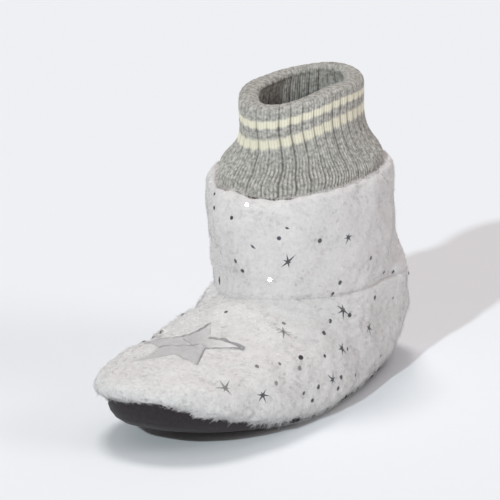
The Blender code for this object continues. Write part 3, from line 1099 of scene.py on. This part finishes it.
def make_cuff():
    bm = bmesh.new()
    bm.loops.layers.uv.new("OFBake")
    stripe = bm.verts.layers.float.new("stripe")
    # The ridge attribute carries painted shade, which darkens the yarn's colour
    ridge = bm.verts.layers.float.new("ridge")
    verts, flat = bent_grid(bm, CUFF_ROWS, RIBS * COLUMNS_A_RIB, cuff_place)
    stripes = stripe_share(flat[:, 1], flat[:, 0])
    turn, level, angle, rib = cuff_course(flat[:, 1], flat[:, 0])
    # Painted shade: darker in the grooves, most at the lower left and right, a little darker over the roll,
    # and darker down the inside towards the bottom
    inside = np.clip((LEVEL["rim"] - level) / INSIDE_REACH, 0.0, 1.0) ** INSIDE_FADE * (angle > INSIDE_FROM)
    groove = 1.0 - np.clip(rib / GROOVE_TOP, 0.0, 1.0)
    groove = groove * (1.0 - GROOVE_SMOOTHS * np.sin(0.5 * angle))
    deep = GROOVE_PAINTED_SHADE + bumps(turn, *GROOVES_PAINTED_DARKER)
    painted_shade = (1.0 - deep * groove) * (1.0 - INSIDE_PAINTED_SHADE * inside) * (1.0 - ROLL_DARK * np.sin(angle))
    for vert, s, r in zip(verts, stripes, painted_shade):
        vert[stripe] = s
        vert[ridge] = r
    return new_piece("ribbed_cuff", closed(bm))


cuff = make_cuff()
print("cuff has", len(cuff.data.vertices), "points")

# %% [markdown]
# ## Heather yarn
# The knit is spun from light and dark fibres, which give it its flecks. In a real yarn they are
# finer than a pixel here, so they are drawn as coarse as they need to show.

# %% Rib knit
YARN_FLECK = 1.8
KNIT_LOOP = 0.9


def rib_knit():
    """Acrylic rib knit spun from grey heather yarn: light and dark fibres, with painted shade between the
    ribs and down the inside.
    """
    material, tree, shader = new_material("Heather grey acrylic rib knit")
    place = add(tree, "ShaderNodeTexCoord").outputs["Object"]
    fleck = add(tree, "ShaderNodeTexNoise", {"Vector": place, "Scale": per_mm(YARN_FLECK), "Detail": 3.0})
    contrast = {"Value": fleck.outputs["Fac"], "From Min": 0.36, "From Max": 0.64}
    tone = add(tree, "ShaderNodeMapRange", contrast).outputs[0]
    tones = {"Factor": tone, "A": linear("#908e89"), "B": linear("#c3c0ba")}
    grey = add(tree, "ShaderNodeMix", tones, data_type="RGBA").outputs["Result"]
    stripe = add(tree, "ShaderNodeAttribute", attribute_name="stripe").outputs["Fac"]
    tones = {"Factor": stripe, "A": grey, "B": linear("#e3deca")}
    yarn = add(tree, "ShaderNodeMix", tones, data_type="RGBA").outputs["Result"]
    # Painted shade from the ridge attribute darkens the yarn
    ridge = add(tree, "ShaderNodeAttribute", attribute_name="ridge").outputs["Fac"]
    tones = {"Factor": 1.0, "A": yarn, "B": ridge}
    colour = add(tree, "ShaderNodeMix", tones, data_type="RGBA", blend_type="MULTIPLY").outputs["Result"]
    loops = add(tree, "ShaderNodeTexNoise", {"Vector": place, "Scale": per_mm(KNIT_LOOP), "Detail": 2.0})
    relief = {"Height": loops.outputs["Fac"], "Strength": 0.5, "Distance": 0.6 * MM}
    normal = add(tree, "ShaderNodeBump", relief).outputs["Normal"]
    feed(tree, shader, {"Base Color": colour, "Normal": normal, "Roughness": 0.95})
    feed(tree, shader, {"Specular IOR Level": 0.15, "Sheen Weight": 0.1})
    return material


finish(cuff, ["cuff"], "rib_knit", rib_knit())

# %% [markdown]
# ## Sole and insole
# The sole is a soft charcoal textile pad, bound up over its edge, and the insole a fleece pad that
# fills the foot's floor. Both are closed pads: a band of rings round the side, and strips straight
# across the foot above and below, which follow the toe's spring without a crease.

# %% Pad maker
PAD_TURNS = 144
PAD_STRIPS = 18


def pad(name, rings):
    """A closed pad from rings of points, the first on top, with strips across both its faces."""
    rings = np.array(rings)
    bm = bmesh.new()
    bm.loops.layers.uv.new("OFBake")

    def side(row, column):
        ring = np.rint(row * (len(rings) - 1)).astype(int)
        return rings[ring, np.rint(column * PAD_TURNS).astype(int) % PAD_TURNS]

    bent_grid(bm, len(rings) - 1, PAD_TURNS, side)
    for edge in (rings[0], rings[-1]):

        def strips(row, column):
            turn = np.rint(row * PAD_TURNS / 2).astype(int)
            share = column[:, None]
            return edge[turn] * (1.0 - share) + edge[-turn % PAD_TURNS] * share

        bent_grid(bm, PAD_TURNS // 2, PAD_STRIPS, strips)
    return new_piece(name, closed(bm))


print("pads have", PAD_TURNS, "points round and", PAD_STRIPS, "strips across")

# %% [markdown]
# ## Sole
# The rings of the sole start at the edge that is bound up under the hem. They follow the hem's
# outline, set in step by step, down to a bottom that is flat at heel and ball, with a low arch
# between them and a sprung toe.

# %% Sole
SOLE_RINGS = (
    # inset from the hem's outline in mm, share of the way from the top to the bottom
    (1.5, 0.0),
    (1.0, 0.22),
    (2.2, 0.5),
    (5.0, 0.78),
    (9.0, 0.94),
    (14.0, 1.0),
)
GAP = 0.3
HEEL_FLAT = (18.0, 64.0)
BALL_FLAT = (112.0, 150.0)
ARCH_RISE = 1.0
TOE_SPRING = 14.8
TOE_BOW = 1.25
HEEL_RISE = 1.0
SOLE_STEPS = 16
BOUND_ABOVE = 0.10
BINDING_DEPTHS = (4.2, 2.0, 1.1)
# A twill's threads are finer than this, and are drawn as coarse as they need to show
TWILL_GRAIN = 2.0


def bottom_height(along):
    """Height of the sole's bottom: flat at heel and ball, a low arch between, and toe spring."""
    arch = (along - HEEL_FLAT[1]) / (BALL_FLAT[0] - HEEL_FLAT[1])
    spring = (along - BALL_FLAT[1]) / (TABLE[LEVEL["hem"], 1] - BALL_FLAT[1])
    heel = (HEEL_FLAT[0] - along) / HEEL_FLAT[0]
    return (
        ARCH_RISE * np.sin(np.pi * np.clip(arch, 0.0, 1.0)) ** 2
        + TOE_SPRING * np.clip(spring, 0.0, None) ** TOE_BOW
        + HEEL_RISE * np.clip(heel, 0.0, None) ** 2
    )


def sole_rings():
    turn = np.linspace(0.0, FULL_TURN, PAD_TURNS, endpoint=False)
    level = np.zeros_like(turn)
    hem = last_point(level, turn)
    across = last_axes(level, turn)[2]
    bound = hem_line(turn) + BOUND_ABOVE
    rings = []
    for share, depth in zip((1.0, 1.0, 0.5), BINDING_DEPTHS):
        rings.append(sunk(share * bound, turn, np.full_like(turn, depth)))
    fine = np.linspace(0.0, 1.0, SOLE_STEPS)
    stops = np.linspace(0.0, 1.0, len(SOLE_RINGS))
    insets = np.interp(fine, stops, [row[0] for row in SOLE_RINGS])
    depths = np.interp(fine, stops, [row[1] for row in SOLE_RINGS])
    for inset, depth in zip(insets, depths):
        ring = hem - inset * across
        top = hem[:, 2] - GAP
        ring[:, 2] = top + depth * (bottom_height(CENTRE_ALONG - ring[:, 1]) - top)
        rings.append(ring)
    return rings


def sole_textile():
    """Brushed charcoal polyester twill over foam: matt, dark and faintly grained."""
    material, tree, shader = new_material("Charcoal polyester twill")
    place = add(tree, "ShaderNodeTexCoord").outputs["Object"]
    noise = add(tree, "ShaderNodeTexNoise", {"Vector": place, "Scale": per_mm(TWILL_GRAIN), "Detail": 4.0})
    tones = {"Factor": noise.outputs["Fac"], "A": linear("#252123"), "B": linear("#3a3538")}
    colour = add(tree, "ShaderNodeMix", tones, data_type="RGBA").outputs["Result"]
    relief = {"Height": noise.outputs["Fac"], "Strength": 0.4, "Distance": 0.5 * MM}
    normal = add(tree, "ShaderNodeBump", relief).outputs["Normal"]
    feed(tree, shader, {"Base Color": colour, "Normal": normal, "Roughness": 0.95})
    feed(tree, shader, {"Specular IOR Level": 0.15, "Sheen Weight": 0.1})
    return material


sole = finish(pad("textile_sole", sole_rings()), ["sole"], "sole_textile", sole_textile())

# %% [markdown]
# ## Insole
# A thin fleece pad fills the foot's floor with a little play to the lining round it.

# %% Insole
INSOLE_LEVELS = (0.06, 0.22, 0.4)
INSOLE_PLAY = 0.4
INSOLE_EDGE = 3.0
INSOLE_BEVEL = 0.06


def insole_rings():
    turn = np.linspace(0.0, FULL_TURN, PAD_TURNS, endpoint=False)
    depth = np.full_like(turn, PLUSH_WALL + INSOLE_PLAY)
    low, middle, high = INSOLE_LEVELS
    rings = [sunk(np.full_like(turn, high), turn, depth + INSOLE_EDGE)]
    rings += [sunk(np.full_like(turn, level), turn, depth) for level in (high - INSOLE_BEVEL, middle, low)]
    return rings


insole = finish(pad("fleece_insole", insole_rings()), ["insole"], "insole_fleece", lining_cloth)

# %% [markdown]
# ## Foil print
# Dots and thin stars of dark silver foil are pressed on the pile. The foil only wets the tips of the fibres,
# so some marks have worn pale, and two turn to the light and glint. The marks of the outer side and the
# front are placed one by one, the rest are strewn as thinly.

# %% Printed marks
PRINT = (
    # kind, then level and turn in degrees of each mark
    ("dot", (9.1, 210), (8.6, 208), (8.5, 188), (8.0, 153), (7.2, 185), (6.9, 179), (7.9, 129), (7.2, 96)),
    ("dot", (6.6, 118), (6.1, 122), (6.4, 84), (6.2, 75), (5.2, 88), (4.4, 66), (4.8, 102), (4.8, 113)),
    ("dot", (4.3, 112), (2.9, 91), (3.1, 104), (1.5, 66), (3.4, 117), (1.5, 84), (1.8, 93), (1.8, 104)),
    ("dot", (1.4, 94), (1.7, 110), (1.3, 106), (5.3, 178)),
    ("dash", (7.7, 170), (8.3, 149)),
    ("star", (7.4, 148), (5.2, 110), (3.4, 80), (1.9, 128), (7.9, 112), (3.1, 95), (1.9, 98)),
)
WORN_PRINT = (
    ("dot", (3.3, 126), (2.9, 115), (3.3, 136), (2.4, 124)),
    ("star", (4.6, 136), (2.3, 144)),
    ("dot", (5.0, 140)),
)
BRIGHT_PRINT = (("glint", (9.1, 178), (6.8, 159)),)
STREWN = 46
PRINTED_FROM = 45.0
PRINTED_TO = 215.0


def placed_marks(rows):
    return [(kind, *place) for kind, *places in rows for place in places]


def strewn_marks(rng, low, high, count):
    """Marks at random on the sides that have no listed marks."""
    level, turn = sow(rng, low, high, 4 * count)
    degrees = np.degrees(turn)
    hidden = np.flatnonzero((degrees < PRINTED_FROM) | (degrees > PRINTED_TO))[:count]
    kinds = rng.choice(("dot", "dot", "dot", "star", "dash"), count)
    return [(kind, level[i], degrees[i]) for kind, i in zip(kinds, hidden)]


strew = np.random.default_rng(21)
foot_marks = [mark for mark in placed_marks(PRINT) if mark[1] < LEVEL["ankle"]]
shaft_marks = [mark for mark in placed_marks(PRINT) if mark[1] >= LEVEL["ankle"]]
foot_marks += strewn_marks(strew, 1.0, LEVEL["ankle"] - 0.2, STREWN)
shaft_marks += strewn_marks(strew, LEVEL["ankle"] + 0.2, LEVEL["gather"] - 0.5, STREWN // 3)
print("marks on foot and shaft:", len(foot_marks), len(shaft_marks))

# %% [markdown]
# ## Flakes
# A mark is a thin flake on the pile's top, a little domed because the tufts stand up under it: a
# small fan for a dot, and pointed arms of uneven length for a star or a dash.

# %% Flakes
DOT_SIZE = 1.3
GLINT_SIZE = 1.0
DOT_SIDES = 9
DOT_RANGE = (0.85, 1.15)
DOT_DOME = 0.5
STAR_ARM = 5.4
DASH_ARM = 2.4
STAR_ARMS = 6
ARM_RANGE = (0.4, 1.15)
ARM_HALF_WIDTH = 0.7
ARM_DOME = 0.4


def flake(kind, rng):
    """Triangles of a mark. A corner is a place across and along its plane and a height, in mm."""
    if kind in ("dot", "glint"):
        angles = np.linspace(0.0, FULL_TURN, DOT_SIDES + 1)
        radius = (DOT_SIZE if kind == "dot" else GLINT_SIZE) * rng.uniform(*DOT_RANGE)
        rim = radius * np.stack([np.cos(angles), np.sin(angles), 0.0 * angles], axis=1)
        return [((0.0, 0.0, DOT_DOME), rim[i], rim[i + 1]) for i in range(DOT_SIDES)]
    arms, length = (STAR_ARMS, STAR_ARM) if kind == "star" else (2, DASH_ARM)
    start = rng.uniform(0.0, FULL_TURN)
    heart = np.array((0.0, 0.0, ARM_DOME))
    parts = []
    for arm in range(arms):
        angle = start + FULL_TURN * arm / arms
        reach = length * rng.uniform(*ARM_RANGE)
        tip = reach * np.array((math.cos(angle), math.sin(angle), 0.0))
        side = ARM_HALF_WIDTH * np.array((-math.sin(angle), math.cos(angle), 0.0))
        parts.append((heart + side, heart - side, tip))
    return parts


print("a dot is", 2.0 * DOT_SIZE, "mm wide, a star up to", round(2.0 * STAR_ARM * ARM_RANGE[1], 1))

# %% [markdown]
# ## Foil on the cloth
# A flake follows the folds corner by corner, so none floats off the cloth. Levels and turns cross
# at a slant on the foot, and that slant is taken out again to keep the dots round. A glint is a
# flat flake turned to the light.

# %% Foil on the cloth
FOIL_LIFT = -0.1
FOIL_DRAWN = (1.1, 1.0)
GLINT_LIFT = 0.3
GLINT_FACING = (21.0, 21.5)


def direction(azimuth, elevation):
    """Unit direction from the slipper to something at an azimuth and elevation."""
    a, e = math.radians(azimuth), math.radians(elevation)
    return Vector((math.sin(a) * math.cos(e), -math.cos(a) * math.cos(e), math.sin(e)))


def foil_piece(name, marks, seed):
    """One mesh of all the marks of a cloth piece."""
    rng = np.random.default_rng(seed)
    points, normals, uv = [], [], []
    for kind, level, turn in marks:
        level = np.array(level)
        turn = np.array(math.radians(turn))
        rise, around, out = last_axes(level, turn)
        across, along, lift = np.moveaxis(np.array(flake(kind, rng))[:, ::-1], -1, 0)
        if kind == "glint":
            out = np.array(direction(*GLINT_FACING))
            sideways = unit(np.cross(np.array((0.0, 0.0, 1.0)), out))
            middle = plush_point(level, turn, np.array(-GLINT_LIFT))
            plane = np.stack([sideways, np.cross(sideways, out), out])
            corners = middle + np.stack([across, along, lift], axis=-1) @ plane
        else:
            drawn = FOIL_DRAWN if level < LEVEL["ankle"] else (1.0, 1.0)
            a_turn = np.linalg.norm(last_point(level, turn + STEP) - last_point(level, turn)) / STEP
            a_level = np.linalg.norm(last_point(level + STEP, turn) - last_point(level, turn)) / STEP
            skew = rise @ around
            climb = drawn[1] * along / math.sqrt(1.0 - skew**2)
            turns = turn + (drawn[0] * across - skew * climb) / a_turn
            levels = level + climb / a_level
            corners = plush_point(levels, turns, -FOIL_LIFT - lift)
        points.append(corners)
        normals.append(np.tile(out, (len(corners), 1)))
        uv.append(np.tile((float(turn) / FULL_TURN % 1.0, float(level) / TOP), (len(corners), 1)))
    return triangles(name, *(np.concatenate(rows) for rows in (points, normals, uv)))


print("glints face", np.round(np.array(direction(*GLINT_FACING)), 2))

# %% [markdown]
# ## Foil
# Hot-pressed foil is a metal film, so it is a metal here, in three tones: dark silver for most marks, paler
# and rougher where it is worn, and white and smooth on the two flakes that face the key sun. Their glint is
# the sun's real reflection together with a painted highlight, as their foil is painted brighter than the
# same foil elsewhere.

# %% Foil
def foil(name, hex_colour, roughness):
    """Hot-pressed silver foil, dulled by the fibres under it."""
    material, tree, shader = new_material(name)
    feed(tree, shader, {"Base Color": linear(hex_colour), "Metallic": 1.0, "Roughness": roughness})
    return material


silver = foil("Dark silver foil", "#66676c", 0.45)
worn = foil("Worn silver foil", "#a2a1a2", 0.6)
# Painted highlight: the glinting flakes' foil is white, brighter than the same foil on the other marks
bright = foil("Bright silver foil", "#ffffff", 0.25)
finish(foil_piece("foot_foil", foot_marks, 31), [], "foot_plush", silver)
finish(foil_piece("shaft_foil", shaft_marks, 32), [], "shaft_plush", silver)
finish(foil_piece("worn_foil", placed_marks(WORN_PRINT), 34), [], "foot_plush", worn)
finish(foil_piece("bright_foil", placed_marks(BRIGHT_PRINT), 33), [], "shaft_plush", bright)

# %% [markdown]
# ## Stage
# The slipper stands on a plain pale floor of matt paper, which catches its shadow. A pale surround
# lights it softly from all sides.

# %% Floor and surround
FLOOR_SIZE = 5.0
SURROUND_STRENGTH = 0.36


def floor_material():
    """Matt studio paper."""
    material, tree, shader = new_material("Matt pale paper")
    feed(tree, shader, {"Base Color": linear("#edf1f5"), "Roughness": 0.9, "Specular IOR Level": 0.1})
    return material


def make_floor():
    bm = bmesh.new()
    bmesh.ops.create_grid(bm, x_segments=1, y_segments=1, size=FLOOR_SIZE)
    floor = new_piece("floor", bm)
    floor.data.materials.append(floor_material())


def make_world():
    world = bpy.data.worlds.new("studio")
    world.use_nodes = True
    sky = world.node_tree.nodes["Background"]
    sky.inputs["Color"].default_value = linear("#fff3f0")
    sky.inputs["Strength"].default_value = SURROUND_STRENGTH
    bpy.context.scene.world = world


make_floor()
make_world()
print("floor:", 2.0 * FLOOR_SIZE, "m wide")

# %% [markdown]
# ## Suns
# A low key sun from beside the camera throws the shadow back and to the right. A high one from
# behind lights the tops, and a soft one from the outer side fills in.

# %% Suns
def add_sun(name, azimuth, elevation, strength, spread, colour):
    lamp = bpy.data.lights.new(name, "SUN")
    lamp.energy = strength
    lamp.angle = math.radians(spread)
    lamp.color = colour
    sun = bpy.data.objects.new(name, lamp)
    sun.rotation_euler = direction(azimuth, elevation).to_track_quat("Z", "Y").to_euler()
    bpy.context.scene.collection.objects.link(sun)


add_sun("key", 6.0, 27.0, 2.0, 2.0, (0.86, 0.96, 0.98))
add_sun("top", 240.0, 76.0, 1.05, 20.0, (1.0, 0.95, 0.94))
add_sun("fill", 100.0, 25.0, 0.68, 30.0, (1.0, 0.98, 0.98))
print("suns:", [lamp.name for lamp in bpy.data.lights])

# %% [markdown]
# ## Camera
# The camera looks from the front and the outer side, a little above, through a long lens. Its focal
# length follows from its distance and from how large a millimetre is drawn.

# %% Camera
CAMERA_AZIMUTH = 29.9
CAMERA_ELEVATION = 15.4
CAMERA_DISTANCE = 2.2
CAMERA_AIM = Vector((-7.0, -2.0, 85.5)) * MM
FRAME_PIXELS = 500.0
PIXELS_PER_MM = 1.8
SENSOR = 36.0


def make_camera():
    lens = bpy.data.cameras.new("camera")
    lens.sensor_width = SENSOR
    lens.lens = PIXELS_PER_MM / MM * CAMERA_DISTANCE * SENSOR / FRAME_PIXELS
    camera = bpy.data.objects.new("camera", lens)
    back = direction(CAMERA_AZIMUTH, CAMERA_ELEVATION)
    camera.location = CAMERA_AIM + CAMERA_DISTANCE * back
    camera.rotation_euler = back.to_track_quat("Z", "Y").to_euler()
    bpy.context.scene.collection.objects.link(camera)
    bpy.context.scene.camera = camera


make_camera()
bpy.context.scene.view_settings.view_transform = "Standard"
print("lens:", round(bpy.context.scene.camera.data.lens), "mm")
